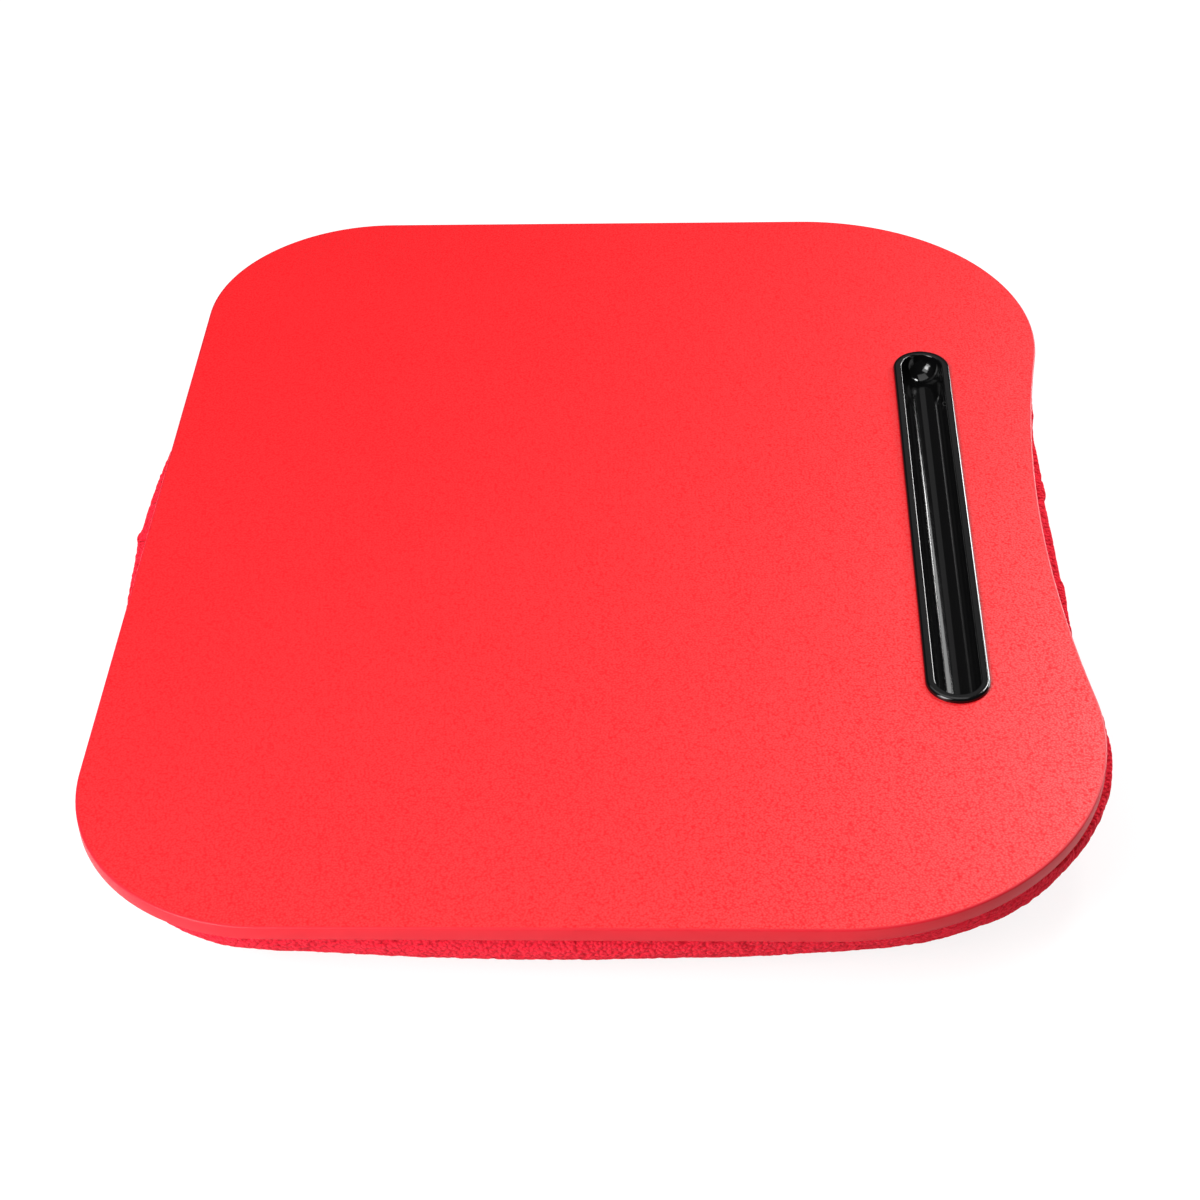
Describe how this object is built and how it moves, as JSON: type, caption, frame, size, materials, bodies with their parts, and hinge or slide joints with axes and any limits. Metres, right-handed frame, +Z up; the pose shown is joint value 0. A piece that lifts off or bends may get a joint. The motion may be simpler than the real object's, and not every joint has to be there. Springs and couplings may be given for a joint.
{
  "type": "lap tray",
  "caption": "Lap tray: a round-cornered red board with a hollow belly edge and a black pen trough, taped onto a bead-filled red fleece cushion.",
  "frame": {"origin": "centre of the cushion's flat base, under the middle of the whole object's box", "axes": "+X along the board to the sitter's right, +Y away from the sitter, +Z up"},
  "size_m": [0.48, 0.401, 0.0509],
  "materials": {
    "board": "raw fibreboard",
    "film": "red film with a fine leather grain",
    "edge": "satin red banding",
    "backing": "smooth off-white paper",
    "pen_tray": "high gloss black",
    "hook_tape": "black woven tape with hooks",
    "loop_tape": "black brushed loop tape",
    "panel_cloth": "plain woven red cloth",
    "fleece": "red fleece with a short bobbled pile",
    "beads": "white foam beads"
  },
  "bodies": {
    "cushion": {"cushion_cover": "fleece", "cushion_top_panel": "panel_cloth", "bead_filling": "beads", "loop_tapes": "loop_tape"},
    "tray": {"board_core": "board", "top_film": "film", "edge_strip": "edge", "backing_sheet": "backing", "pen_tray": "pen_tray", "hook_tapes": "hook_tape"}
  },
  "joints": [
    {"name": "tray_lift", "type": "slide", "parent": "cushion", "child": "tray", "axis": [0, 0, 1], "range_m": [0, 0.08]}
  ]
}
